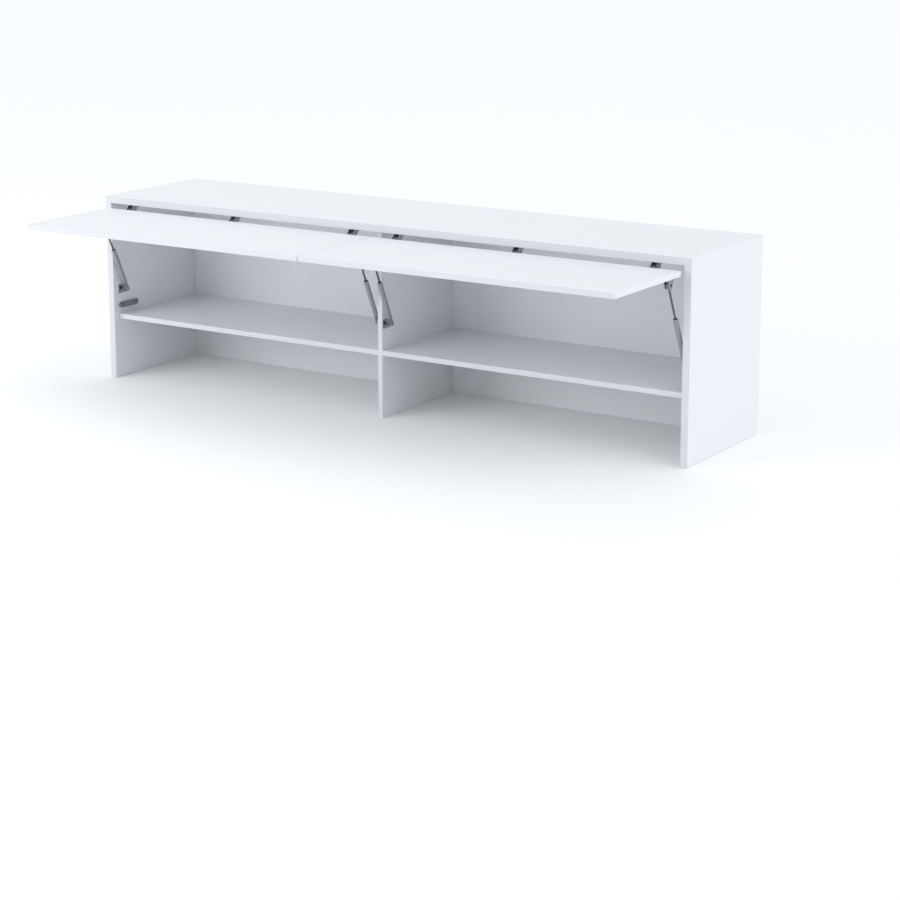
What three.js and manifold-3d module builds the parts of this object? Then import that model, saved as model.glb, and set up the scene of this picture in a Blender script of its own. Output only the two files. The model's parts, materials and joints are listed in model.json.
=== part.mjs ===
// Over-bed cabinet of a horizontal wall bed: two bays behind two lift-up flaps,
// with an open niche under each bay. Millimetres, +X right, +Y to the wall, +Z up.
// Pieces are placed with y = 0 at the front edges; the whole group is then moved so
// that the origin is under the middle of the divider's foot. The flaps rest open.
import * as THREE from 'three';
import { mergeVertices } from 'three/addons/utils/BufferGeometryUtils.js';
import Module from 'manifold-3d';

const wasm = await Module();
wasm.setup();

// ---------- sizes ----------
// Carcass
const WIDTH = 2110;
const HEIGHT = 600;
const DEPTH = 460;
const SIDE_T = 22;              // outer sides
const TOP_T = 22;               // top panel
const INNER_T = 16;             // divider and shelves
const BACK_T = 16;              // back panels
const BACK_INSET = 22;          // from the rear edges to the back panels
const NICHE_H = 195;            // foot to the shelves' undersides

// Flaps, described as they stand when closed
const FLAP_T = 16;
const FLAP_SET_BACK = 4;        // outer face behind the carcass's front edges
const FLAP_TOP_GAP = 2;
const FLAP_SIDE_GAP = 2.5;
const FLAP_SEAM = 3;            // between the two flaps
const FLAP_STOP_GAP = 2;        // closed flap to the divider and shelves
const SWING_AHEAD = 31;         // swing axis ahead of the closed flap's inner face
const SWING_ABOVE = 2;          // swing axis above the top panel's underside

// Clearances
const SEAT_GAP = 0.3;           // pieces that are screwed or clipped together
const RUN_GAP = 0.3;            // pieces that turn or slide on each other
const KNEE_GAP = 0.5;           // hole of the knee pin

// Hinges, three per flap
const HINGE_LEFT = 56;          // flap's left end to its first hinge
const HINGE_RIGHT = 105;        // flap's right end to its last hinge
const HINGE_MIDDLE_OFF = 41;    // middle hinge, to the left of the flap's middle
const CUP_R = 17.5;
const CUP_DEPTH = 11.5;
const CUP_WALL = 1;
const CUP_EDGE = 4;             // board left between cup and flap edge
const FLANGE_T = 1.2;
const FLANGE_RIM = 2;           // flange beyond the cup
const FLANGE_W = 52;
const FLANGE_H = 18;
const FLANGE_SCREW_X = 22;
const SCREW_HOLE_R = 2.2;
const CUP_PIN_Y = 5.3;          // cup pin, from the flap's inner face into the board
const CUP_PIN_Z = 22.4;         // cup pin, below the flap's top edge
const ARM_PIN_Y = 0.9;          // arm pin, from the closed flap's inner face into the cup
const ARM_PIN_Z = 20.8;         // arm pin, below the top panel
const ARM_LINK_L = 35.9;
const CUP_LINK_L = 36.9;
const PIN_R = 2;
const LINK_R = 3.2;             // rounded ends at the outer pins
const KNEE_R = 4.2;             // rounded ends at the knee
const NOSE_R = 3.4;             // arm round its pin
const CUP_LINK_W = 8.4;
const ARM_LINK_T = 3;           // each of the arm link's two plates
const ARM_WALL = 1.7;
const ARM_LEAN = 11;            // upper front corner of the arm, behind the closed flap
const ARM_CHEEK_END = 28;       // rear end of the arm's deep cheeks, behind the closed flap
const ARM_END = 44;             // rear end of the arm, behind the closed flap
const ARM_DROP = 5;             // top panel to the arm
const ARM_H = 8;                // height of the arm at its rear
const ARM_CORNER_R = 7;         // rounded rear corners of the cheeks
const PLATE_T = 2.5;
const PLATE_Y = 17;             // screw line of the mounting plates, behind the closed flap
const PLATE_WINGS = 48;
const PLATE_WING_D = 14;
const PLATE_RAIL_W = 14;

// Gas struts, two per flap
const STRUT_OFF = 17;           // strut axis from the panel beside it
const STRUT_R = 7.5;
const STRUT_ROD_R = 3;
const STRUT_FOOT_Y = 27;        // lower pivot behind the closed flap
const STRUT_FOOT_Z = 81;        // lower pivot above the shelf
const STRUT_HEAD_Y = 18;        // upper pivot behind the closed flap
const STRUT_HEAD_Z = 47;        // upper pivot below the flap's top edge
const STRUT_ROD_CLEAR = 87;     // upper pivot to the cylinder, flap closed
const STRUT_END_GAP = 10;       // rod end to the bottom of the bore, flap closed
const STRUT_SOCKET = 14;        // solid plastic end below the bore
const EYE_R = 7;
const EYE_W = 10;
const STUD_R = 3;
const COLLAR_R = 5;
const BRACKET_T = 2.5;
const FOOT_PLATE_FRONT = 24;    // foot plate ahead of the pivot
const FOOT_PLATE_REAR = 12;     // and behind it
const FOOT_PLATE_H = 28;
const HEAD_SLOT = 13;           // between the flap bracket's two cheeks
const HEAD_CHEEK_T = 2;
const HEAD_PLATE_W = 28;
const HEAD_PLATE_H = 32;
const HEAD_TIP_R = 8;
const HEAD_REACH = 30;

// Push latches, one per outer side
const LATCH_W = 12;
const LATCH_H = 18;
const LATCH_L = 86;
const LATCH_Z = 28;             // centre above the shelf
const LATCH_TIP_GAP = 1;        // plunger tip to the closed flap
const LATCH_STROKE = 3;
const PLUNGER_R = 3.6;
const PLUNGER_HEAD_R = 4.6;
const PLUNGER_HEAD_T = 3;
const PLUNGER_L = 36;

const ROUND = 28;               // facets of large rounds
const ROUND_SMALL = 12;         // facets of pins and small rounds

// ---------- places that follow from the sizes ----------
const underTop = HEIGHT - TOP_T;
const innerX = WIDTH / 2 - SIDE_T;
const dividerX = INNER_T / 2;
const backY = DEPTH - BACK_INSET - BACK_T;
const shelfTop = NICHE_H + INNER_T;
const flapTop = underTop - FLAP_TOP_GAP;
const flapInnerY = FLAP_SET_BACK + FLAP_T;
const innerFrontY = flapInnerY + FLAP_STOP_GAP;
const plateY = flapInnerY + PLATE_Y;
const armEnd = flapInnerY + ARM_END;
const flapLowX = FLAP_SEAM / 2;
const flapHighX = innerX - FLAP_SIDE_GAP;
const swing = new THREE.Vector2(flapInnerY - SWING_AHEAD, underTop + SWING_ABOVE);
const cupZ = flapTop - CUP_EDGE - CUP_R;

const armPin = new THREE.Vector2(flapInnerY - ARM_PIN_Y, underTop - ARM_PIN_Z);
const cupPinClosed = new THREE.Vector2(flapInnerY - CUP_PIN_Y, flapTop - CUP_PIN_Z);
const cupPinOpen = toOpen(cupPinClosed);
const kneeOpen = lowerMeeting(armPin, ARM_LINK_L, cupPinOpen, CUP_LINK_L);

const strutFoot = new THREE.Vector2(flapInnerY + STRUT_FOOT_Y, shelfTop + STRUT_FOOT_Z);
const strutHeadClosed = new THREE.Vector2(flapInnerY + STRUT_HEAD_Y, flapTop - STRUT_HEAD_Z);
const strutHeadOpen = toOpen(strutHeadClosed);
const strutLong = strutFoot.distanceTo(strutHeadOpen);
const strutShort = strutFoot.distanceTo(strutHeadClosed);
const cylinderTop = strutShort - STRUT_ROD_CLEAR;

const latchZ = shelfTop + LATCH_Z;
const latchFront = flapInnerY + LATCH_TIP_GAP + PLUNGER_HEAD_T + LATCH_STROKE + SEAT_GAP;

// ---------- materials ----------
const laminate = material(0xf1f2f4, 0.45, 0);
const steel = material(0xb9bcc0, 0.35, 0.9);
const zinc = material(0x8f9398, 0.45, 0.8);
const tube = material(0xc9ccd0, 0.3, 0.6);
const chrome = material(0xd8dadd, 0.15, 1);
const greyPlastic = material(0x9a9da1, 0.5, 0);
const whitePlastic = material(0xe6e7e8, 0.4, 0);

function material(color, roughness, metalness) {
  return new THREE.MeshStandardMaterial({ color, roughness, metalness });
}

// ---------- plane geometry, in (y, z) ----------
// A point of a closed flap, carried to where it is when the flap is open.
function toOpen(p) {
  return new THREE.Vector2(swing.x + (p.y - swing.y), swing.y - (p.x - swing.x));
}

// The same, back from the open flap to the closed one.
function toClosed(p) {
  return new THREE.Vector2(swing.x - (p.y - swing.y), swing.y + (p.x - swing.x));
}

// The lower of the two points at distance ra from a and rb from b.
function lowerMeeting(a, ra, b, rb) {
  const along = b.clone().sub(a);
  const gap = along.length();
  along.normalize();
  const x = (gap * gap + ra * ra - rb * rb) / (2 * gap);
  const h = Math.sqrt(ra * ra - x * x);
  const side = new THREE.Vector2(-along.y, along.x).multiplyScalar(along.x > 0 ? -h : h);
  return a.clone().addScaledVector(along, x).add(side);
}

// ---------- solids ----------
function toSolid(geometry) {
  const g = geometry.clone();
  g.deleteAttribute('normal');
  g.deleteAttribute('uv');
  const merged = mergeVertices(g, 1e-4);
  return new wasm.Manifold(new wasm.Mesh({
    numProp: 3,
    vertProperties: new Float32Array(merged.attributes.position.array),
    triVerts: new Uint32Array(merged.index.array),
  }));
}

function toGeometry(solid) {
  const mesh = solid.getMesh();
  const g = new THREE.BufferGeometry();
  g.setAttribute('position', new THREE.BufferAttribute(mesh.vertProperties, 3));
  g.setIndex(new THREE.BufferAttribute(mesh.triVerts, 1));
  g.computeVertexNormals();
  return g;
}

function join(...geometries) {
  const solids = geometries.map(toSolid);
  return toGeometry(solids.reduce((sum, next) => sum.add(next)));
}

function cut(geometry, ...tools) {
  const solids = tools.map(toSolid);
  return toGeometry(solids.reduce((rest, next) => rest.subtract(next), toSolid(geometry)));
}

function box([x0, x1], [y0, y1], [z0, z1]) {
  const g = new THREE.BoxGeometry(x1 - x0, y1 - y0, z1 - z0);
  return g.translate((x0 + x1) / 2, (y0 + y1) / 2, (z0 + z1) / 2);
}

// A shape drawn in (y, z), given thickness from x0 to x1.
function plateAcrossX(shape, x0, x1) {
  const g = new THREE.ExtrudeGeometry(shape, {
    depth: x1 - x0, bevelEnabled: false, curveSegments: ROUND_SMALL / 2,
  });
  const turn = new THREE.Matrix4().makeBasis(
    new THREE.Vector3(0, 1, 0), new THREE.Vector3(0, 0, 1), new THREE.Vector3(1, 0, 0));
  return g.applyMatrix4(turn).translate(x0, 0, 0);
}

function pinAcrossX(center, radius, x0, x1) {
  const g = new THREE.CylinderGeometry(radius, radius, x1 - x0, ROUND_SMALL);
  return g.rotateZ(Math.PI / 2).translate((x0 + x1) / 2, center.x, center.y);
}

function pinAlongY(x, z, radius, y0, y1, facets = ROUND_SMALL) {
  const g = new THREE.CylinderGeometry(radius, radius, y1 - y0, facets);
  return g.translate(x, (y0 + y1) / 2, z);
}

// A bar with round ends of radius ra at a and rb at b, drawn in (y, z).
function barShape(a, ra, b, rb) {
  const along = b.clone().sub(a);
  const lean = Math.acos((ra - rb) / along.length());
  const turn = along.angle();
  const shape = new THREE.Shape();
  shape.absarc(a.x, a.y, ra, turn + lean, turn - lean + 2 * Math.PI, false);
  shape.absarc(b.x, b.y, rb, turn - lean, turn + lean, false);
  return shape;
}

function addHole(shape, center, radius) {
  const hole = new THREE.Path();
  hole.absarc(center.x, center.y, radius, 0, 2 * Math.PI, true);
  shape.holes.push(hole);
}

// A profile of [radius, height] points turned about the Z axis.
function turned(points, facets) {
  const g = new THREE.LatheGeometry(points.map(([r, h]) => new THREE.Vector2(r, h)), facets);
  return g.rotateX(Math.PI / 2);
}

function add(parent, name, geometry, finish) {
  const mesh = new THREE.Mesh(geometry, finish);
  mesh.name = name;
  parent.add(mesh);
  return mesh;
}

// ---------- carcass ----------
function buildCarcass(parent) {
  add(parent, 'top_panel',
    box([-WIDTH / 2, WIDTH / 2], [0, DEPTH], [underTop, HEIGHT]), laminate);
  add(parent, 'divider',
    box([-dividerX, dividerX], [innerFrontY, DEPTH], [0, underTop]), laminate);
  for (const [side, sign] of [['left', -1], ['right', 1]]) {
    const span = (from, to) => [sign * from, sign * to].sort((a, b) => a - b);
    add(parent, `${side}_side`,
      box(span(innerX, WIDTH / 2), [0, DEPTH], [0, underTop]), laminate);
    add(parent, `shelf_${side}`,
      box(span(dividerX, innerX), [innerFrontY, backY], [NICHE_H, shelfTop]), laminate);
    add(parent, `back_${side}`,
      box(span(dividerX, innerX), [backY, backY + BACK_T], [0, underTop]), laminate);
  }
}

// ---------- flap board, with a blind pocket for each hinge cup ----------
function flapEnds(sign) {
  return [sign * flapLowX, sign * flapHighX].sort((a, b) => a - b);
}

// Hinge lines of a flap, from its left end to its right end.
function hingeXs(sign) {
  const [x0, x1] = flapEnds(sign);
  return [x0 + HINGE_LEFT, (x0 + x1) / 2 - HINGE_MIDDLE_OFF, x1 - HINGE_RIGHT];
}

function flapBoard(sign) {
  const board = box(flapEnds(sign), [FLAP_SET_BACK, flapInnerY], [NICHE_H, flapTop]);
  const bottom = flapInnerY - CUP_DEPTH - SEAT_GAP;
  const pockets = hingeXs(sign).map((x) => pinAlongY(
    x, cupZ, CUP_R + SEAT_GAP, bottom, flapInnerY + SEAT_GAP, ROUND));
  return cut(board, ...pockets);
}

// ---------- hinge pieces, at x = 0 ----------
function hingePlate() {
  const low = underTop - ARM_DROP + SEAT_GAP;
  const rail = box([-PLATE_RAIL_W / 2, PLATE_RAIL_W / 2],
    [plateY - PLATE_WING_D, armEnd - 2 * PLATE_T], [low, underTop]);
  const wings = box([-PLATE_WINGS / 2, PLATE_WINGS / 2],
    [plateY - PLATE_WING_D / 2, plateY + PLATE_WING_D / 2], [underTop - PLATE_T, underTop]);
  return join(rail, wings);
}

// Channel open at its front and underneath: deep cheeks round the arm pin, a low tail behind.
function hingeArm() {
  const outer = CUP_LINK_W / 2 + ARM_LINK_T + 2 * RUN_GAP + ARM_WALL;
  const top = underTop - ARM_DROP;
  const cheekEnd = flapInnerY + ARM_CHEEK_END;
  const shape = new THREE.Shape();
  shape.moveTo(flapInnerY + ARM_LEAN, top);
  shape.lineTo(armPin.x - NOSE_R, armPin.y);
  shape.absarc(armPin.x, armPin.y, NOSE_R, Math.PI, 1.5 * Math.PI);
  shape.absarc(cheekEnd - ARM_CORNER_R, armPin.y - NOSE_R + ARM_CORNER_R, ARM_CORNER_R,
    -Math.PI / 2, 0);
  shape.lineTo(cheekEnd, top - ARM_H);
  shape.lineTo(armEnd, top - ARM_H);
  shape.lineTo(armEnd, top);
  addHole(shape, armPin, PIN_R + RUN_GAP);
  const channel = box([ARM_WALL - outer, outer - ARM_WALL],
    [0, armEnd + 1], [armPin.y - ARM_H, top - ARM_WALL]);
  return cut(plateAcrossX(shape, -outer, outer), channel);
}

// Two plates joined by the knee pin, with a stub pin outside each at the arm.
function armLink() {
  const inside = CUP_LINK_W / 2 + RUN_GAP;
  const outside = inside + ARM_LINK_T;
  const shape = barShape(armPin, LINK_R, kneeOpen, KNEE_R);
  const stub = outside + RUN_GAP + ARM_WALL;
  return join(
    plateAcrossX(shape, -outside, -inside),
    plateAcrossX(shape, inside, outside),
    pinAcrossX(kneeOpen, PIN_R, -outside, outside),
    pinAcrossX(armPin, PIN_R, -stub, -inside),
    pinAcrossX(armPin, PIN_R, inside, stub));
}

function cupLink() {
  const knee = toClosed(kneeOpen);
  const shape = barShape(cupPinClosed, LINK_R, knee, KNEE_R);
  addHole(shape, cupPinClosed, PIN_R + RUN_GAP);
  addHole(shape, knee, PIN_R + KNEE_GAP);
  return plateAcrossX(shape, -CUP_LINK_W / 2, CUP_LINK_W / 2);
}

// Cup with its rim, its flange's two wings and the pin across its well.
function hingeCup() {
  const floor = flapInnerY - CUP_DEPTH;
  const seat = flapInnerY + SEAT_GAP;
  const face = seat + FLANGE_T;
  const inside = CUP_R - CUP_WALL;
  const well = turned([
    [0, -floor], [0, -floor - CUP_WALL], [inside, -floor - CUP_WALL], [inside, -face],
    [CUP_R + FLANGE_RIM, -face], [CUP_R + FLANGE_RIM, -seat], [CUP_R, -seat], [CUP_R, -floor],
    [0, -floor],
  ], ROUND).rotateX(Math.PI / 2).translate(0, 0, cupZ);
  const wings = box([-FLANGE_W / 2, FLANGE_W / 2], [seat, face],
    [cupZ - FLANGE_H / 2, cupZ + FLANGE_H / 2]);
  const screws = [-1, 1].map((s) => pinAlongY(
    s * FLANGE_SCREW_X, cupZ, SCREW_HOLE_R, seat - 1, face + 1));
  const flange = cut(wings, pinAlongY(0, cupZ, inside + 0.5, seat - 1, face + 1, ROUND), ...screws);
  const pin = pinAcrossX(cupPinClosed, PIN_R, -CUP_R + CUP_WALL / 2, CUP_R - CUP_WALL / 2);
  return join(well, flange, pin);
}

// ---------- gas strut pieces ----------
// Cylinder and rod stand on the lower pivot with their axis along +Z.
function strutCylinder() {
  const end = STRUT_R * 0.75;
  return turned([
    [0, -STRUT_R], [end, -STRUT_R], [STRUT_R, -end], [STRUT_R, cylinderTop],
    [STRUT_ROD_R + RUN_GAP, cylinderTop], [STRUT_ROD_R + RUN_GAP, STRUT_SOCKET],
    [0, STRUT_SOCKET], [0, -STRUT_R],
  ], ROUND_SMALL);
}

function strutRod() {
  const insideEnd = STRUT_SOCKET + STRUT_END_GAP + strutLong - strutShort;
  const rod = turned([
    [0, insideEnd], [STRUT_ROD_R, insideEnd], [STRUT_ROD_R, strutLong - EYE_R / 2],
    [0, strutLong - EYE_R / 2], [0, insideEnd],
  ], ROUND_SMALL);
  const head = new THREE.Vector2(0, strutLong);
  const eye = pinAcrossX(head, EYE_R, -EYE_W / 2, EYE_W / 2);
  return cut(join(rod, eye), pinAcrossX(head, STUD_R + RUN_GAP, -EYE_W, EYE_W));
}

// Plate on the side panel or divider, at x = 0 and reaching to +x.
function strutFootBracket() {
  const plate = box([0, BRACKET_T],
    [strutFoot.x - FOOT_PLATE_FRONT, strutFoot.x + FOOT_PLATE_REAR],
    [strutFoot.y - FOOT_PLATE_H / 2, strutFoot.y + FOOT_PLATE_H / 2]);
  const reach = STRUT_OFF - STRUT_R - RUN_GAP;
  return join(plate, pinAcrossX(strutFoot, COLLAR_R, BRACKET_T / 2, reach));
}

// Base on the closed flap's inner face, with two cheeks and a pin for the rod's eye.
function strutHeadBracket() {
  const seat = flapInnerY + SEAT_GAP;
  const { x: y, y: z } = strutHeadClosed;
  const base = box([STRUT_OFF - HEAD_PLATE_W / 2, STRUT_OFF + HEAD_PLATE_W / 2],
    [seat, seat + BRACKET_T], [z - HEAD_PLATE_H / 2, z + HEAD_PLATE_H / 2]);
  const lean = Math.atan2(HEAD_PLATE_H / 2 - HEAD_TIP_R, HEAD_REACH - HEAD_TIP_R);
  const cheek = new THREE.Shape();
  cheek.moveTo(seat, z + HEAD_PLATE_H / 2);
  cheek.lineTo(seat, z - HEAD_PLATE_H / 2);
  cheek.absarc(seat + HEAD_REACH - HEAD_TIP_R, z, HEAD_TIP_R,
    lean - Math.PI / 2, Math.PI / 2 - lean, false);
  const near = STRUT_OFF - HEAD_SLOT / 2;
  const far = STRUT_OFF + HEAD_SLOT / 2;
  return join(base,
    plateAcrossX(cheek, near - HEAD_CHEEK_T, near),
    plateAcrossX(cheek, far, far + HEAD_CHEEK_T),
    pinAcrossX(new THREE.Vector2(y, z), STUD_R, near - 1, far + 1));
}

// ---------- push latch pieces, against a panel at x = 0 and reaching to +x ----------
function latchHousing() {
  const body = box([0, LATCH_W], [latchFront, latchFront + LATCH_L],
    [latchZ - LATCH_H / 2, latchZ + LATCH_H / 2]);
  const depth = PLUNGER_L + LATCH_STROKE + SEAT_GAP;
  const bore = pinAlongY(LATCH_W / 2, latchZ, PLUNGER_R + RUN_GAP,
    latchFront - 1, latchFront + depth);
  return cut(body, bore);
}

function latchPlunger() {
  const tip = flapInnerY + LATCH_TIP_GAP;
  const neck = tip + PLUNGER_HEAD_T;
  return join(
    pinAlongY(LATCH_W / 2, latchZ, PLUNGER_HEAD_R, tip, neck),
    pinAlongY(LATCH_W / 2, latchZ, PLUNGER_R, neck - 1, latchFront + PLUNGER_L - LATCH_STROKE));
}

// ---------- assembly ----------
function mirrorX(geometry) {
  return toGeometry(toSolid(geometry).mirror([1, 0, 0]));
}

// A group whose contents are drawn on a closed flap and shown on the open one.
function openFlapGroup(parent) {
  const turn = new THREE.Group();
  turn.position.set(0, swing.x, swing.y);
  turn.rotation.x = -Math.PI / 2;
  const back = new THREE.Group();
  back.position.set(0, -swing.x, -swing.y);
  turn.add(back);
  parent.add(turn);
  return back;
}

function addHinges(cabinet, flap, side, sign) {
  hingeXs(sign).forEach((x, i) => {
    const name = `hinge_${side}_${i + 1}`;
    add(cabinet, `${name}_plate`, hingePlate(), zinc).position.x = x;
    add(cabinet, `${name}_arm`, hingeArm(), steel).position.x = x;
    add(cabinet, `${name}_arm_link`, armLink(), steel).position.x = x;
    add(flap, `${name}_cup_link`, cupLink(), steel).position.x = x;
    add(flap, `${name}_cup`, hingeCup(), zinc).position.x = x;
  });
}

// Struts stand beside the divider ('inner') and beside the outer side ('outer').
function addStruts(cabinet, flap, side, sign) {
  const lean = Math.atan2(strutFoot.x - strutHeadOpen.x, strutHeadOpen.y - strutFoot.y);
  for (const [place, face, facing] of [['inner', dividerX, 1], ['outer', innerX, -1]]) {
    const name = `strut_${side}_${place}`;
    const panelX = sign * face;
    const toward = sign * facing;
    const handed = (geometry) => (toward > 0 ? geometry : mirrorX(geometry));
    add(cabinet, `${name}_foot_bracket`, handed(strutFootBracket()), zinc).position.x = panelX;
    add(flap, `${name}_head_bracket`, handed(strutHeadBracket()), greyPlastic)
      .position.x = panelX;
    const axis = new THREE.Group();
    axis.position.set(panelX + toward * STRUT_OFF, strutFoot.x, strutFoot.y);
    axis.rotation.x = lean;
    cabinet.add(axis);
    add(axis, `${name}_cylinder`, strutCylinder(), tube);
    add(axis, `${name}_rod`, strutRod(), chrome);
  }
}

function addLatch(cabinet, side, sign) {
  const handed = (geometry) => (sign < 0 ? geometry : mirrorX(geometry));
  add(cabinet, `latch_${side}_housing`, handed(latchHousing()), greyPlastic)
    .position.x = sign * innerX;
  add(cabinet, `latch_${side}_plunger`, handed(latchPlunger()), whitePlastic)
    .position.x = sign * innerX;
}

function build() {
  const cabinet = new THREE.Group();
  cabinet.position.y = -DEPTH / 2;
  buildCarcass(cabinet);
  const flaps = openFlapGroup(cabinet);
  for (const [side, sign] of [['left', -1], ['right', 1]]) {
    add(flaps, `flap_${side}`, flapBoard(sign), laminate);
    addHinges(cabinet, flaps, side, sign);
    addStruts(cabinet, flaps, side, sign);
    addLatch(cabinet, side, sign);
  }
  const whole = new THREE.Group();
  whole.add(cabinet);
  return whole;
}

export default build();
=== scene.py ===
# Looks of the over-bed wall cabinet: white laminate boards, concealed hinges, gas struts,
# push latches, a pale floor and soft studio light. Everything is in metres.
import json
import math

import bmesh
import bpy
from mathutils import Matrix, Vector


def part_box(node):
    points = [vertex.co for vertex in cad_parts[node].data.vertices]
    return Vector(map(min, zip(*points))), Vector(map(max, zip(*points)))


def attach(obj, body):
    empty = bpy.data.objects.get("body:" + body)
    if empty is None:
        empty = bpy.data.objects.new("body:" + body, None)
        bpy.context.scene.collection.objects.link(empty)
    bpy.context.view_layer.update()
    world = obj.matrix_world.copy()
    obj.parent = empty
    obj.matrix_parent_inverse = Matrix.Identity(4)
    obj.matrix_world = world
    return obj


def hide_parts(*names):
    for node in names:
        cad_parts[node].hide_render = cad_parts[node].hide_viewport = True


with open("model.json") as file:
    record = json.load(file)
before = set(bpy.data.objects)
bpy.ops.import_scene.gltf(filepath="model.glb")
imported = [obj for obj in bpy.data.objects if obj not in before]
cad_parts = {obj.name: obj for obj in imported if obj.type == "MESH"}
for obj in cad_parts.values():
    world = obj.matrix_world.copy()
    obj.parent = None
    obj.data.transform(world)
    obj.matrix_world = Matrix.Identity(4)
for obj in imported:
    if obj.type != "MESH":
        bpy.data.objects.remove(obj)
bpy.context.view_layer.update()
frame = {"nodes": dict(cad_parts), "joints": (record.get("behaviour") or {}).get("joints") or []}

MM = 0.001
SIDES = ("left", "right")
HINGES = (1, 2, 3)
PLACES = ("inner", "outer")
X_AXIS, Y_AXIS, Z_AXIS = Vector((1, 0, 0)), Vector((0, 1, 0)), Vector((0, 0, 1))
DOWN = Vector((0, 0, -1))

# Camera: the photograph's viewing angle
CAMERA_AT = Vector((3.865, -5.8616, 1.7316))
CAMERA_TURN = math.radians(32.585)
CAMERA_DIP = math.radians(12.766)
CAMERA_LENS = 92.4
CAMERA_SHIFT = -0.1             # the object stands a little above the frame's middle

# Boards
EDGE_ROUND = 0.6 * MM
BAND_T = 1.0 * MM               # edge band, seen as a fine line on the faces
BAND_LINE = 0.12 * MM

# Struts
TUBE_R = 7.5 * MM
ROD_R = 3.0 * MM
EYE_R = 7.0 * MM
EYE_W = 10 * MM
FOOT_KNOB_AHEAD = 17 * MM       # knob ahead of the lower pivot
PLATE_T = 2.5 * MM
CHEEK_T = 2.0 * MM
HEAD_SLOT = 13 * MM

# Screws
SCREW_R = 3.6 * MM
SCREW_H = 2.2 * MM
SCREW_FOOT = 0.4 * MM           # the head's sunk foot
CROSS_REACH = 2.0 * MM
CROSS_HALF = 0.42 * MM
CROSS_DEPTH = 1.2 * MM

# Caps over the cam fittings
CAP_R = 8.5 * MM
CAP_H = 1.1 * MM
CAP_INSET = 34 * MM             # from the board's ends

# Hinges
PLATE_SCREW_Y = 14 * MM         # behind the plate's front end
PLATE_SCREW_X = 18 * MM         # to each side of the hinge's middle
PLATE_WING_T = 2.5 * MM
CUP_SCREW_X = 22 * MM
ADJUSTER_Y = 8 * MM             # ahead of the arm's rear end
ARM_WALL = 1.7 * MM
ARM_LEAN = 15 * MM              # the arm's front leans back by this over its height
# The black sheet in each hinge arm, the cover below, is painted shade for the channel's dark opening;
# these numbers place it.
PAINTED_SHADE_SHEET_GAP = 0.3 * MM
PAINTED_SHADE_SHEET_DROP = 11 * MM            # from the arm's top to the cover's chin
PAINTED_SHADE_SHEET_FRONT = 2 * MM            # behind the arm's front

# Push latches
LATCH_STEP = 0.55               # the lower tier's share of the housing's depth
LATCH_LID_SHORT = 22 * MM       # the upper tier is shorter by this
LATCH_SCREW_Y = 6 * MM          # from the housing's ends
BUSH_BORE = 3.9 * MM
BUSH_R = 5.6 * MM
BUSH_DEPTH = 3 * MM
BUSH_PROUD = 0.1 * MM

# Studio
FLOOR_SIZE = 80.0
FLOOR_COLOR = (0.96, 0.962, 0.965)
SKY_COLOR = (0.945, 0.97, 1.0)
SKY_STRENGTH = 0.92
KEY_COLOR = (1.0, 1.0, 1.0)
KEY_STRENGTH = 0.64
KEY_AT = (6.5, -0.6, 6.0)
KEY_ANGLE = math.radians(60)
FRONT_COLOR = (0.98, 0.99, 1.0)
FRONT_WATTS = 86
FRONT_AT = (-2.8, -4.2, 1.8)
FRONT_TOWARD = (-0.2, 0, 0.4)
FRONT_WIDTH, FRONT_HEIGHT = 3.2, 2.0


# ---------- the frame's own places ----------
def joint(name):
    """The frame's entry for a joint."""
    return next(j for j in frame["joints"] if j["name"] == name)


def centre(node):
    """The middle of a CAD node's box at rest."""
    low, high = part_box(node)
    return (low + high) / 2


def span_along(node, origin, axis):
    """How far a CAD node reaches along an axis from a point."""
    reach = [(v.co - origin).dot(axis) for v in frame["nodes"][node].data.vertices]
    return min(reach), max(reach)


# ---------- materials ----------
def material(name, color, roughness, metallic=0.0):
    mat = bpy.data.materials.new(name)
    mat.use_nodes = True
    shader = mat.node_tree.nodes["Principled BSDF"]
    shader.inputs["Base Color"].default_value = (*color, 1)
    shader.inputs["Roughness"].default_value = roughness
    shader.inputs["Metallic"].default_value = metallic
    return mat, mat.node_tree.nodes, mat.node_tree.links, shader


def math_node(nodes, links, operation, *values):
    node = nodes.new("ShaderNodeMath")
    node.operation = operation
    for socket, value in zip(node.inputs, values):
        if isinstance(value, (int, float)):
            socket.default_value = value
        else:
            links.new(value, socket)
    return node.outputs[0]


def noise(nodes, links, coords, scale, detail=2.0):
    node = nodes.new("ShaderNodeTexNoise")
    node.inputs["Scale"].default_value = scale
    node.inputs["Detail"].default_value = detail
    links.new(coords, node.inputs["Vector"])
    return node.outputs["Fac"]


def map_range(nodes, links, value, low, high):
    node = nodes.new("ShaderNodeMapRange")
    node.inputs["To Min"].default_value = low
    node.inputs["To Max"].default_value = high
    links.new(value, node.inputs["Value"])
    return node.outputs["Result"]


def bump(nodes, links, shader, height, distance, strength=1.0):
    node = nodes.new("ShaderNodeBump")
    node.inputs["Distance"].default_value = distance
    node.inputs["Strength"].default_value = strength
    links.new(height, node.inputs["Height"])
    links.new(node.outputs["Normal"], shader.inputs["Normal"])


def mix_color(nodes, links, factor, first, second):
    node = nodes.new("ShaderNodeMix")
    node.data_type = "RGBA"
    for socket, color in ((node.inputs["A"], first), (node.inputs["B"], second)):
        if isinstance(color, tuple):
            socket.default_value = (*color, 1)
        else:
            links.new(color, socket)
    links.new(factor, node.inputs["Factor"])
    return node.outputs["Result"]


LAMINATE = (0.80, 0.812, 0.832)
LAMINATE_CLOUD = (0.786, 0.798, 0.820)
# Painted shade: the front and rear edge faces get a darker colour than the laminate, standing in for the
# shade on edges facing the front.
EDGE_PAINTED_SHADE = (0.625, 0.637, 0.658)
GLUE_LINE = (0.55, 0.57, 0.60)
DEEP = 1                        # the axis from front to rear


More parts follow.
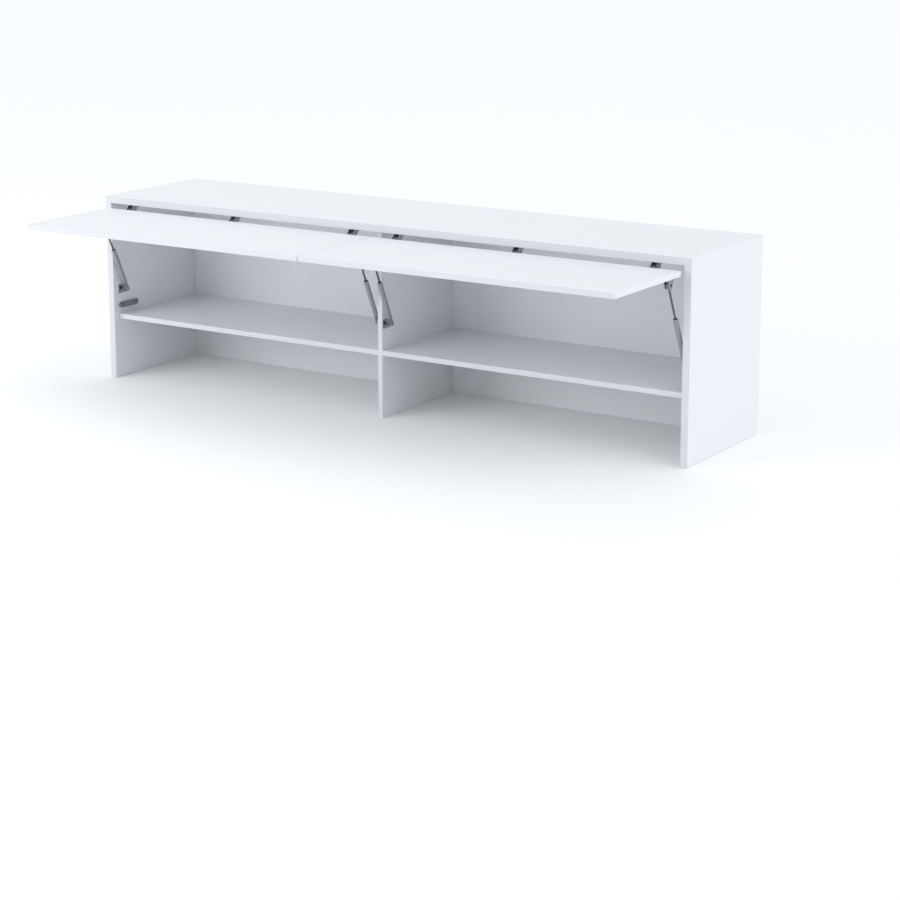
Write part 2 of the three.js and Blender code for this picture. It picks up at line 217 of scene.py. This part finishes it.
def laminate(node):
    """White satin melamine with a fine pearl grain; its front and rear edges are coloured darker as
    painted shade.
    """
    low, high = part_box(node)
    mat, nodes, links, shader = material(f"laminate_{node}", LAMINATE, 0.42)
    coords = nodes.new("ShaderNodeTexCoord").outputs["Object"]
    split = nodes.new("ShaderNodeSeparateXYZ")
    links.new(coords, split.inputs[0])
    thin = min(range(3), key=lambda i: high[i] - low[i])
    margins = {}
    for i in range(3):
        if i == thin:
            continue
        off = math_node(nodes, links, "SUBTRACT", split.outputs[i], (low[i] + high[i]) / 2)
        away = math_node(nodes, links, "ABSOLUTE", off)
        margins[i] = math_node(nodes, links, "SUBTRACT", (high[i] - low[i]) / 2, away)
    margin = math_node(nodes, links, "MINIMUM", *margins.values())
    line = math_node(nodes, links, "COMPARE", margin, BAND_T, BAND_LINE)
    cloud = noise(nodes, links, coords, 2.5)
    face = mix_color(nodes, links, cloud, LAMINATE, LAMINATE_CLOUD)
    if DEEP in margins:
        # Painted shade: faces within the band's width of the front or rear are coloured darker.
        edge_shade_mask = math_node(nodes, links, "LESS_THAN", margins[DEEP], BAND_T)
        face = mix_color(nodes, links, edge_shade_mask, face, EDGE_PAINTED_SHADE)
    glue = math_node(nodes, links, "MULTIPLY", line, 0.6)
    links.new(mix_color(nodes, links, glue, face, GLUE_LINE), shader.inputs["Base Color"])
    grain = noise(nodes, links, coords, 1400.0, 3.0)
    links.new(map_range(nodes, links, grain, 0.36, 0.48), shader.inputs["Roughness"])
    bump(nodes, links, shader, grain, 0.05 * MM, 0.25)
    return mat


def metal(name, color, roughness, grain_scale=500.0, spread=0.08):
    mat, nodes, links, shader = material(name, color, roughness, 1.0)
    coords = nodes.new("ShaderNodeTexCoord").outputs["Object"]
    grain = noise(nodes, links, coords, grain_scale, 4.0)
    links.new(map_range(nodes, links, grain, roughness - spread, roughness + spread),
              shader.inputs["Roughness"])
    stain = noise(nodes, links, coords, 90.0)
    darker = tuple(c * 0.86 for c in color)
    links.new(mix_color(nodes, links, stain, color, darker), shader.inputs["Base Color"])
    bump(nodes, links, shader, grain, 0.02 * MM, 0.3)
    return mat


def plastic(name, color, roughness, grain_scale=1600.0):
    mat, nodes, links, shader = material(name, color, roughness)
    coords = nodes.new("ShaderNodeTexCoord").outputs["Object"]
    grain = noise(nodes, links, coords, grain_scale, 3.0)
    links.new(map_range(nodes, links, grain, roughness - 0.06, roughness + 0.08),
              shader.inputs["Roughness"])
    scuff = noise(nodes, links, coords, 60.0)
    lighter = tuple(min(1.0, c * 1.15 + 0.01) for c in color)
    links.new(mix_color(nodes, links, scuff, color, lighter), shader.inputs["Base Color"])
    bump(nodes, links, shader, grain, 0.06 * MM, 0.5)
    return mat


NICKEL = metal("nickel", (0.52, 0.53, 0.55), 0.30)
PRESSED_STEEL = metal("pressed_steel", (0.40, 0.41, 0.43), 0.36)
# Painted shade: the hinge links are coloured near-black to stand in for the shadow they sit in inside
# the gap.
LINK_STEEL_PAINTED_SHADE = metal("black_steel", (0.045, 0.047, 0.052), 0.34)
BRACKET_STEEL = metal("bracket_steel", (0.38, 0.39, 0.41), 0.42)
NITRIDED_STEEL = metal("nitrided_steel", (0.13, 0.134, 0.142), 0.2, spread=0.04)
ZINC_SCREW = metal("zinc_screw", (0.68, 0.68, 0.67), 0.28)
GREY_PAINT = plastic("grey_paint", (0.245, 0.256, 0.272), 0.36, 900.0)
GREY_PLASTIC = plastic("grey_plastic", (0.17, 0.176, 0.188), 0.45)
BLACK_PLASTIC = plastic("black_plastic", (0.018, 0.019, 0.021), 0.40)
WHITE_PLASTIC = plastic("white_plastic", (0.78, 0.79, 0.80), 0.38)


# ---------- mesh helpers ----------
def piece(name, bm, mat, body, place=None, bevel=0.0, smooth=30.0):
    """A new piece from a bmesh, placed, rounded, shaded, and riding on a body."""
    bmesh.ops.recalc_face_normals(bm, faces=bm.faces)
    mesh = bpy.data.meshes.new(name)
    bm.to_mesh(mesh)
    bm.free()
    if place is not None:
        mesh.transform(place)
    mesh.materials.append(mat)
    obj = bpy.data.objects.new(name, mesh)
    bpy.context.scene.collection.objects.link(obj)
    finish_shape(obj, bevel, smooth)
    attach(obj, body)
    return obj


def finish_shape(obj, bevel, smooth=30.0):
    if bevel:
        rounding = obj.modifiers.new("edges", "BEVEL")
        rounding.width = bevel
        rounding.segments = 2
        rounding.limit_method = "ANGLE"
        rounding.angle_limit = math.radians(smooth)
        rounding.use_clamp_overlap = True
        weighted = obj.modifiers.new("normals", "WEIGHTED_NORMAL")
        weighted.keep_sharp = False
    for face in obj.data.polygons:
        face.use_smooth = True
    obj.data.set_sharp_from_angle(angle=math.radians(smooth))


def cad_look(node, mat, bevel):
    """A CAD node keeps its shape and gets a material and softly rounded edges."""
    obj = frame["nodes"][node]
    obj.data.materials.clear()
    obj.data.materials.append(mat)
    weld = obj.modifiers.new("weld", "WELD")
    weld.merge_threshold = 0.01 * MM
    flat = obj.modifiers.new("flat", "DECIMATE")
    flat.decimate_type = "DISSOLVE"
    flat.angle_limit = math.radians(1.0)
    rounding = obj.modifiers.new("edges", "BEVEL")
    rounding.width = bevel
    rounding.segments = 2
    rounding.limit_method = "ANGLE"
    rounding.angle_limit = math.radians(32)
    rounding.use_clamp_overlap = True
    for face in obj.data.polygons:
        face.use_smooth = True
    obj.modifiers.new("normals", "WEIGHTED_NORMAL")
    return obj


def aim(origin, axis):
    """A transform that carries the +Z axis to an axis from an origin."""
    turn = Z_AXIS.rotation_difference(Vector(axis)).to_matrix().to_4x4()
    return Matrix.Translation(origin) @ turn


def ring_steps(count):
    return [2 * math.pi * i / count for i in range(count)]


def add_turned(bm, profile, place=None, count=40):
    """A profile of (radius, height) points turned about +Z: from axis to axis, or back to its start."""
    place = place or Matrix.Identity(4)
    hollow = profile[0] == profile[-1]
    rings = []
    for radius, height in (profile[:-1] if hollow else profile):
        steps = ring_steps(count) if radius else [0.0]
        rings.append([bm.verts.new(place @ Vector((radius * math.cos(a), radius * math.sin(a), height)))
                      for a in steps])
    if hollow:
        rings.append(rings[0])
    for lower, upper in zip(rings, rings[1:]):
        for i in range(count):
            j = (i + 1) % count
            corners = [lower[i % len(lower)], lower[j % len(lower)],
                       upper[j % len(upper)], upper[i % len(upper)]]
            unique = list(dict.fromkeys(corners))
            if len(unique) > 2:
                bm.faces.new(unique)


def add_slab(bm, outline, thickness, place=None):
    """A plane outline of (a, b) points, given thickness along +Z from 0."""
    place = place or Matrix.Identity(4)
    low = [bm.verts.new(place @ Vector((a, b, 0))) for a, b in outline]
    high = [bm.verts.new(place @ Vector((a, b, thickness))) for a, b in outline]
    bm.faces.new(low)
    bm.faces.new(high)
    for i in range(len(outline)):
        j = (i + 1) % len(outline)
        bm.faces.new([low[i], low[j], high[j], high[i]])


def arc(cx, cy, radius, start, end, steps=10):
    turn = (end - start) / steps
    return [(cx + radius * math.cos(start + turn * i), cy + radius * math.sin(start + turn * i))
            for i in range(steps + 1)]


def rounded_rect(width, height, radius, cx=0.0, cy=0.0):
    x, y = width / 2 - radius, height / 2 - radius
    quarter = math.pi / 2
    return (arc(cx + x, cy + y, radius, 0, quarter, 6)
            + arc(cx - x, cy + y, radius, quarter, 2 * quarter, 6)
            + arc(cx - x, cy - y, radius, 2 * quarter, 3 * quarter, 6)
            + arc(cx + x, cy - y, radius, 3 * quarter, 4 * quarter, 6))


# A plane whose first axis is +Y, second +Z, and whose thickness runs along +X.
ACROSS_X = Matrix(((0, 0, 1, 0), (1, 0, 0, 0), (0, 1, 0, 0), (0, 0, 0, 1)))


def make_screw():
    """Pan head with a cross recess, its seat at z = 0 and its head up +Z."""
    bm = bmesh.new()
    dome = [(SCREW_R * math.cos(a), SCREW_H * math.sin(a))
            for a in (math.radians(d) for d in (8, 25, 42, 60, 76))]
    add_turned(bm, [(0, -SCREW_FOOT), (SCREW_R, -SCREW_FOOT)] + dome + [(0, SCREW_H)], count=28)
    bmesh.ops.recalc_face_normals(bm, faces=bm.faces)
    head = bpy.data.meshes.new("screw_head")
    bm.to_mesh(head)
    bm.free()
    bm = bmesh.new()
    arm, half = CROSS_REACH, CROSS_HALF
    cross = [(arm, -half), (arm, half), (half, half), (half, arm), (-half, arm), (-half, half),
             (-arm, half), (-arm, -half), (-half, -half), (-half, -arm), (half, -arm), (half, -half)]
    add_slab(bm, cross, SCREW_H, Matrix.Translation((0, 0, SCREW_H - CROSS_DEPTH)))
    bmesh.ops.recalc_face_normals(bm, faces=bm.faces)
    tool = bpy.data.meshes.new("screw_recess")
    bm.to_mesh(tool)
    bm.free()
    head_obj = bpy.data.objects.new("screw_head", head)
    tool_obj = bpy.data.objects.new("screw_recess", tool)
    for obj in (head_obj, tool_obj):
        bpy.context.scene.collection.objects.link(obj)
    cut = head_obj.modifiers.new("recess", "BOOLEAN")
    cut.object = tool_obj
    cut.solver = "EXACT"
    shown = head_obj.evaluated_get(bpy.context.evaluated_depsgraph_get())
    mesh = bpy.data.meshes.new_from_object(shown)
    bpy.data.objects.remove(head_obj)
    bpy.data.objects.remove(tool_obj)
    return mesh


SCREW = make_screw()


def screws(name, spots, body, scale=1.0):
    """One piece that holds several screw heads; spots are (seat, direction of the head)."""
    bm = bmesh.new()
    for number, (seat, direction) in enumerate(spots):
        part = SCREW.copy()
        turn = Matrix.Rotation(math.radians(17 + 31 * number), 4, "Z")
        part.transform(aim(seat, direction) @ turn @ Matrix.Scale(scale, 4))
        bm.from_mesh(part)
        bpy.data.meshes.remove(part)
    return piece(name, bm, ZINC_SCREW, body)


# ---------- boards ----------
def dress_boards():
    """Laminate on every board of the carcass and on both flaps."""
    names = ["top_panel", "divider", "left_side", "right_side"]
    for side in SIDES:
        names += [f"shelf_{side}", f"back_{side}", f"flap_{side}"]
    for node in names:
        cad_look(node, laminate(node), EDGE_ROUND)


def cam_caps(node, seats, direction):
    """Plastic caps over a board's cam fittings, one piece per board."""
    bm = bmesh.new()
    for seat in seats:
        add_turned(bm, [
            (0, -0.3 * MM), (CAP_R - 0.2 * MM, -0.3 * MM), (CAP_R, 0.3 * MM), (CAP_R - 0.8 * MM, CAP_H),
            (2.4 * MM, CAP_H), (1.6 * MM, CAP_H - 0.5 * MM), (0, CAP_H - 0.5 * MM),
        ], aim(seat, direction), 36)
    piece(f"{node}_caps", bm, WHITE_PLASTIC, "cabinet")


def dress_fittings(side):
    """Caps under a bay's shelf and on the rear of its back panel."""
    low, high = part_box(f"shelf_{side}")
    ends = (low.x + CAP_INSET, high.x - CAP_INSET)
    depths = (low.y + 2 * CAP_INSET, high.y - 2 * CAP_INSET)
    cam_caps(f"shelf_{side}", [Vector((x, y, low.z)) for x in ends for y in depths], DOWN)
    low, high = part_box(f"back_{side}")
    ends = (low.x + CAP_INSET, high.x - CAP_INSET)
    heights = (low.z + 2 * CAP_INSET, (low.z + high.z) / 2, high.z - 2 * CAP_INSET)
    cam_caps(f"back_{side}", [Vector((x, high.y, z)) for x in ends for z in heights], Y_AXIS)


# ---------- hinges ----------
def dress_hinge(side, number):
    """Metals of one hinge's CAD nodes with its links near-black as painted shade, its screws, and a
    black sheet of painted shade in its arm.
    """
    name = f"hinge_{side}_{number}"
    cad_look(f"{name}_plate", NICKEL, 0.35 * MM)
    cad_look(f"{name}_arm", PRESSED_STEEL, 0.35 * MM)
    # The links' near-black colour is painted shade.
    cad_look(f"{name}_arm_link", LINK_STEEL_PAINTED_SHADE, 0.3 * MM)
    cad_look(f"{name}_cup_link", LINK_STEEL_PAINTED_SHADE, 0.3 * MM)
    cad_look(f"{name}_cup", NICKEL, 0.25 * MM)
    plate_low, plate_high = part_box(f"{name}_plate")
    arm_low, arm_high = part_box(f"{name}_arm")
    cup_low, cup_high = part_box(f"{name}_cup")
    x = (arm_low.x + arm_high.x) / 2
    wing_y = plate_low.y + PLATE_SCREW_Y
    wing_z = plate_high.z - PLATE_WING_T
    screws(f"{name}_plate_screws",
           [(Vector((x + s * PLATE_SCREW_X, wing_y, wing_z)), DOWN) for s in (-1, 1)],
           "cabinet")
    cup_y = (cup_low.y + cup_high.y) / 2
    screws(f"{name}_cup_screws",
           [(Vector((x + s * CUP_SCREW_X, cup_y, cup_low.z)), DOWN) for s in (-1, 1)],
           f"flap_{side}")
    screws(f"{name}_adjusters",
           [(Vector((x, arm_high.y - ADJUSTER_Y, arm_high.z - ARM_WALL)), DOWN)],
           "cabinet", 0.9)
    arm_painted_shade_sheet(name, x, arm_low, arm_high)


def arm_painted_shade_sheet(name, x, arm_low, arm_high):
    """Black plastic sheet inside the arm's channel, behind its leaning front: painted shade for the
    channel's dark opening.
    """
    half = (arm_high.x - arm_low.x) / 2 - ARM_WALL - PAINTED_SHADE_SHEET_GAP
    roof = arm_high.z - ARM_WALL - PAINTED_SHADE_SHEET_GAP
    chin = arm_high.z - PAINTED_SHADE_SHEET_DROP
    front = arm_low.y + PAINTED_SHADE_SHEET_FRONT
    outline = [(front + ARM_LEAN - 3 * MM, roof), (front + 6 * MM, chin + 3.5 * MM),
               (front + 3.5 * MM, chin), (front + 16 * MM, chin),
               (front + 26 * MM, chin + 2 * MM), (front + 30 * MM, roof)]
    bm = bmesh.new()
    add_slab(bm, outline, 2 * half, Matrix.Translation((x - half, 0, 0)) @ ACROSS_X)
    piece(f"{name}_cover", bm, BLACK_PLASTIC, "cabinet", bevel=0.4 * MM)


# ---------- gas struts ----------
def dress_strut(side, place):
    """One gas strut between its lower and upper pivots, with both brackets."""
    name = f"strut_{side}_{place}"
    axis = Vector(joint(f"cylinders_{side}_slide")["axis"]).normalized()
    head = Vector(joint(f"rods_{side}_turn")["pos_m"])
    head.x = centre(f"{name}_cylinder").x
    foot_z = centre(f"{name}_foot_bracket").z
    foot = head - axis * ((head.z - foot_z) / axis.z)
    length = (head - foot).length
    stand = aim(foot, axis)
    _, top = span_along(f"{name}_cylinder", foot, axis)
    strut_tube(name, side, stand, top)
    inside_end, _ = span_along(f"{name}_rod", foot, axis)
    strut_rod(name, side, stand, length, inside_end)
    foot_bracket(name, foot)
    head_bracket(name, side, head)


def strut_tube(name, side, stand, top):
    """Painted cylinder with a rolled neck, its rod seal, and the plastic end at the lower pivot."""
    socket = 24 * MM
    bore = ROD_R + 0.3 * MM
    bm = bmesh.new()
    add_turned(bm, [
        (bore, socket + 2 * MM), (TUBE_R - 0.9 * MM, socket), (TUBE_R - 0.1 * MM, socket + 0.8 * MM),
        (TUBE_R - 0.1 * MM, top - 9 * MM), (TUBE_R - 0.7 * MM, top - 8.3 * MM),
        (TUBE_R - 0.7 * MM, top - 7 * MM), (TUBE_R - 0.1 * MM, top - 6.3 * MM),
        (TUBE_R - 0.1 * MM, top - 1.5 * MM), (TUBE_R - 1.2 * MM, top - 0.2 * MM), (bore, top - 0.2 * MM),
        (bore, socket + 2 * MM),
    ], stand, 48)
    tube = piece(f"{name}_tube", bm, GREY_PAINT, f"cylinders_{side}")
    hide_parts(f"{name}_cylinder")
    bm = bmesh.new()
    add_turned(bm, [
        (bore, top - 3 * MM), (TUBE_R - 1.6 * MM, top - 3 * MM), (TUBE_R - 1.6 * MM, top + 0.3 * MM),
        (TUBE_R - 2.2 * MM, top + 0.9 * MM), (bore, top + 0.9 * MM), (bore, top - 3 * MM),
    ], stand, 40)
    piece(f"{name}_seal", bm, BLACK_PLASTIC, f"cylinders_{side}")
    bm = bmesh.new()
    ball = [(TUBE_R * math.cos(a), TUBE_R * math.sin(a))
            for a in (math.radians(d) for d in range(-80, 1, 16))]
    add_turned(bm, [(0, -TUBE_R)] + ball + [
        (TUBE_R, 3 * MM), (TUBE_R - 1.3 * MM, 9 * MM), (TUBE_R - 1.3 * MM, 19 * MM),
        (TUBE_R - 0.4 * MM, 21 * MM), (TUBE_R - 0.4 * MM, socket), (0, socket),
    ], stand, 40)
    piece(f"{name}_socket", bm, GREY_PLASTIC, f"cylinders_{side}")


def strut_rod(name, side, stand, length, inside_end):
    """Piston rod, and the plastic end with its eye at the upper pivot."""
    bm = bmesh.new()
    add_turned(bm, [
        (0, inside_end), (ROD_R - 0.5 * MM, inside_end), (ROD_R, inside_end + 0.5 * MM),
        (ROD_R, length - 12 * MM), (0, length - 12 * MM),
    ], stand, 32)
    rod = piece(f"{name}_rod_bar", bm, NITRIDED_STEEL, f"rods_{side}")
    bm = bmesh.new()
    neck = 4.6 * MM
    add_turned(bm, [
        (0, length - 20 * MM), (neck - 0.6 * MM, length - 20 * MM), (neck, length - 19 * MM),
        (neck, length - 8 * MM), (neck - 1 * MM, length - 5 * MM), (0, length - 5 * MM),
    ], stand, 32)
    eye_place = stand @ Matrix.Translation((0, 0, length)) @ Matrix.Rotation(math.pi / 2, 4, "Y")
    half = EYE_W / 2
    hole = ROD_R + 0.2 * MM
    add_turned(bm, [
        (hole, -half), (EYE_R - 1 * MM, -half), (EYE_R, -half + 1 * MM), (EYE_R, half - 1 * MM),
        (EYE_R - 1 * MM, half), (hole, half), (hole, -half),
    ], eye_place, 32)
    piece(f"{name}_eye", bm, GREY_PLASTIC, f"rods_{side}")
    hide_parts(f"{name}_rod")


def foot_bracket(name, foot):
    """Pressed plate on the panel, with its ball stud, a fixing knob in front and two screws."""
    node = f"{name}_foot_bracket"
    low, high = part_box(node)
    away = 1 if foot.x > (low.x + high.x) / 2 else -1
    panel_x = low.x if away > 0 else high.x
    width, height = high.y - low.y, high.z - low.z
    bm = bmesh.new()
    outline = rounded_rect(width, height, 4 * MM, (low.y + high.y) / 2, (low.z + high.z) / 2)
    add_slab(bm, outline, away * PLATE_T, Matrix.Translation((panel_x, 0, 0)) @ ACROSS_X)
    plate = piece(f"{name}_foot_plate", bm, BRACKET_STEEL, "cabinet", bevel=0.5 * MM)
    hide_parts(node)
    reach = high.x - low.x
    bm = bmesh.new()
    stud = Vector((panel_x, foot.y, foot.z))
    add_turned(bm, [
        (0, 1 * MM), (5.5 * MM, 1 * MM), (5.5 * MM, 4.2 * MM), (4.8 * MM, 5 * MM), (3.2 * MM, 5.6 * MM),
        (3.2 * MM, 7 * MM), (5 * MM, 7.6 * MM), (5 * MM, reach), (0, reach),
    ], aim(stud, X_AXIS * away), 32)
    piece(f"{name}_foot_stud", bm, NICKEL, "cabinet", bevel=0.2 * MM)
    bm = bmesh.new()
    knob = Vector((panel_x, foot.y - FOOT_KNOB_AHEAD, foot.z + 3 * MM))
    add_turned(bm, [
        (0, PLATE_T - 0.3 * MM), (4.6 * MM, PLATE_T - 0.3 * MM), (4.8 * MM, 6 * MM),
        (4.2 * MM, 8 * MM), (2.6 * MM, 8.8 * MM), (0, 9 * MM),
    ], aim(knob, X_AXIS * away), 28)
    piece(f"{name}_foot_knob", bm, BLACK_PLASTIC, "cabinet", bevel=0.3 * MM)
    seats = [Vector((panel_x + away * PLATE_T, foot.y - 6 * MM, foot.z + dz))
             for dz in (-9 * MM, 9 * MM)]
    screws(f"{name}_foot_screws", [(seat, X_AXIS * away) for seat in seats], "cabinet")


def head_bracket(name, side, head):
    """Base on the flap's inner face with two pressed cheeks and the pin through the rod's eye."""
    node = f"{name}_head_bracket"
    low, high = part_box(node)
    body = f"flap_{side}"
    width, depth = high.x - low.x, high.y - low.y
    mid_y = (low.y + high.y) / 2
    bm = bmesh.new()
    base = rounded_rect(width, depth, 3 * MM, (low.x + high.x) / 2, mid_y)
    add_slab(bm, base, PLATE_T, Matrix.Translation((0, 0, high.z - PLATE_T)))
    tip = 8 * MM
    tip_z = low.z + tip
    lean = math.atan2(depth / 2 - tip, high.z - tip_z)
    cheek = ([(low.y, high.z - 1 * MM)]
             + arc(mid_y, tip_z, tip, math.pi + lean, 2 * math.pi - lean, 16)
             + [(high.y, high.z - 1 * MM)])
    for x in (head.x - HEAD_SLOT / 2 - CHEEK_T, head.x + HEAD_SLOT / 2):
        add_slab(bm, cheek, CHEEK_T, Matrix.Translation((x, 0, 0)) @ ACROSS_X)
    plate = piece(f"{name}_head_plate", bm, BRACKET_STEEL, body, bevel=0.5 * MM)
    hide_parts(node)
    bm = bmesh.new()
    half = HEAD_SLOT / 2 + CHEEK_T
    cap = half + 1.2 * MM
    add_turned(bm, [
        (0, -cap), (3.4 * MM, -cap), (4.2 * MM, -cap + 0.6 * MM), (4.2 * MM, -half), (3 * MM, -half),
        (3 * MM, half), (4.2 * MM, half), (4.2 * MM, cap - 0.6 * MM), (3.4 * MM, cap), (0, cap),
    ], aim(head, X_AXIS), 28)
    piece(f"{name}_head_pin", bm, BLACK_PLASTIC, body)
    seats = [Vector((head.x + s * 11.5 * MM, mid_y + s * 9 * MM, high.z - PLATE_T)) for s in (-1, 1)]
    screws(f"{name}_head_screws", [(seat, DOWN) for seat in seats], body, 0.8)


# ---------- push latches ----------
def dress_latch(side):
    """Two-tier housing with a bush at its mouth, two screws, and the plunger."""
    node = f"latch_{side}_housing"
    low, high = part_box(node)
    away = 1 if side == "left" else -1
    panel_x = low.x if away > 0 else high.x
    length, height, depth = high.y - low.y, high.z - low.z, high.x - low.x
    mid_y, mid_z = (low.y + high.y) / 2, (low.z + high.z) / 2
    place = Matrix.Translation((panel_x, 0, 0)) @ ACROSS_X
    bm = bmesh.new()
    step = away * depth * LATCH_STEP
    add_slab(bm, rounded_rect(length, height, 3.5 * MM, mid_y, mid_z), step, place)
    lid = rounded_rect(length - LATCH_LID_SHORT, height - 2 * MM, 3 * MM, mid_y, mid_z)
    add_slab(bm, lid, away * depth, place)
    body = piece(f"latch_{side}_body", bm, GREY_PLASTIC, "cabinet", bevel=1.0 * MM)
    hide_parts(node)
    tip_low, tip_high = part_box(f"latch_{side}_plunger")
    mouth = Vector(((tip_low.x + tip_high.x) / 2, low.y, mid_z))
    bm = bmesh.new()
    add_turned(bm, [
        (BUSH_BORE, -BUSH_DEPTH), (BUSH_R, -BUSH_DEPTH), (BUSH_R, BUSH_PROUD),
        (BUSH_BORE, BUSH_PROUD), (BUSH_BORE, -BUSH_DEPTH),
    ], aim(mouth, -Y_AXIS), 32)
    piece(f"latch_{side}_bush", bm, GREY_PLASTIC, "cabinet")
    ends = (low.y + LATCH_SCREW_Y, high.y - LATCH_SCREW_Y)
    spots = [(Vector((panel_x + step, y, mid_z)), X_AXIS * away) for y in ends]
    screws(f"latch_{side}_screws", spots, "cabinet", 0.85)
    tip = Vector((mouth.x, tip_high.y, mouth.z))
    reach = tip_high.y - tip_low.y
    head_r = (tip_high.z - tip_low.z) / 2
    bm = bmesh.new()
    add_turned(bm, [
        (0, 0), (3.5 * MM, 0), (3.6 * MM, reach - 3 * MM), (head_r, reach - 2.9 * MM),
        (head_r, reach - 0.9 * MM), (head_r - 0.8 * MM, reach - 0.1 * MM), (0, reach),
    ], aim(tip, -Y_AXIS), 36)
    plunger = piece(f"latch_{side}_tip", bm, GREY_PLASTIC, f"plunger_{side}")
    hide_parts(f"latch_{side}_plunger")


# ---------- studio ----------
def build_floor():
    """Plain pale floor, a hair under the cabinet's feet."""
    mat, nodes, links, shader = material("floor_white", FLOOR_COLOR, 0.8)
    coords = nodes.new("ShaderNodeTexCoord").outputs["Object"]
    haze = noise(nodes, links, coords, 0.6)
    links.new(map_range(nodes, links, haze, 0.66, 0.74), shader.inputs["Roughness"])
    bm = bmesh.new()
    bmesh.ops.create_grid(bm, x_segments=2, y_segments=2, size=FLOOR_SIZE / 2)
    mesh = bpy.data.meshes.new("floor")
    bm.to_mesh(mesh)
    bm.free()
    mesh.materials.append(mat)
    floor = bpy.data.objects.new("floor", mesh)
    floor.location.z = -0.2 * MM
    bpy.context.scene.collection.objects.link(floor)


def add_light(name, kind, color, energy, at=(0, 0, 0), toward=(0, 0, 0)):
    """A light at a point that shines toward another point."""
    light = bpy.data.lights.new(name, kind)
    light.color = color
    light.energy = energy
    obj = bpy.data.objects.new(name, light)
    obj.location = at
    way = Vector(at) - Vector(toward)
    obj.rotation_euler = way.to_track_quat("Z", "Y").to_euler()
    bpy.context.scene.collection.objects.link(obj)
    return light


def build_light():
    """Soft sky, a wide sun from the right and a panel from the front left."""
    world = bpy.data.worlds.new("studio")
    world.use_nodes = True
    sky = world.node_tree.nodes["Background"]
    sky.inputs["Color"].default_value = (*SKY_COLOR, 1)
    sky.inputs["Strength"].default_value = SKY_STRENGTH
    bpy.context.scene.world = world
    key = add_light("key", "SUN", KEY_COLOR, KEY_STRENGTH, at=KEY_AT)
    key.angle = KEY_ANGLE
    front = add_light("front", "AREA", FRONT_COLOR, FRONT_WATTS, at=FRONT_AT, toward=FRONT_TOWARD)
    front.shape = "RECTANGLE"
    front.size = FRONT_WIDTH
    front.size_y = FRONT_HEIGHT
    bpy.context.scene.view_settings.view_transform = "Standard"


def build_camera():
    """The camera at the photograph's viewing angle."""
    data = bpy.data.cameras.new("camera")
    data.lens = CAMERA_LENS
    data.shift_y = CAMERA_SHIFT
    data.clip_end = 200
    camera = bpy.data.objects.new("camera", data)
    camera.location = CAMERA_AT
    camera.rotation_euler = (math.pi / 2 - CAMERA_DIP, 0, CAMERA_TURN)
    bpy.context.scene.collection.objects.link(camera)
    bpy.context.scene.camera = camera


build_camera()
build_floor()
build_light()
dress_boards()
for side in SIDES:
    for number in HINGES:
        dress_hinge(side, number)
    for place in PLACES:
        dress_strut(side, place)
    dress_latch(side)
    dress_fittings(side)
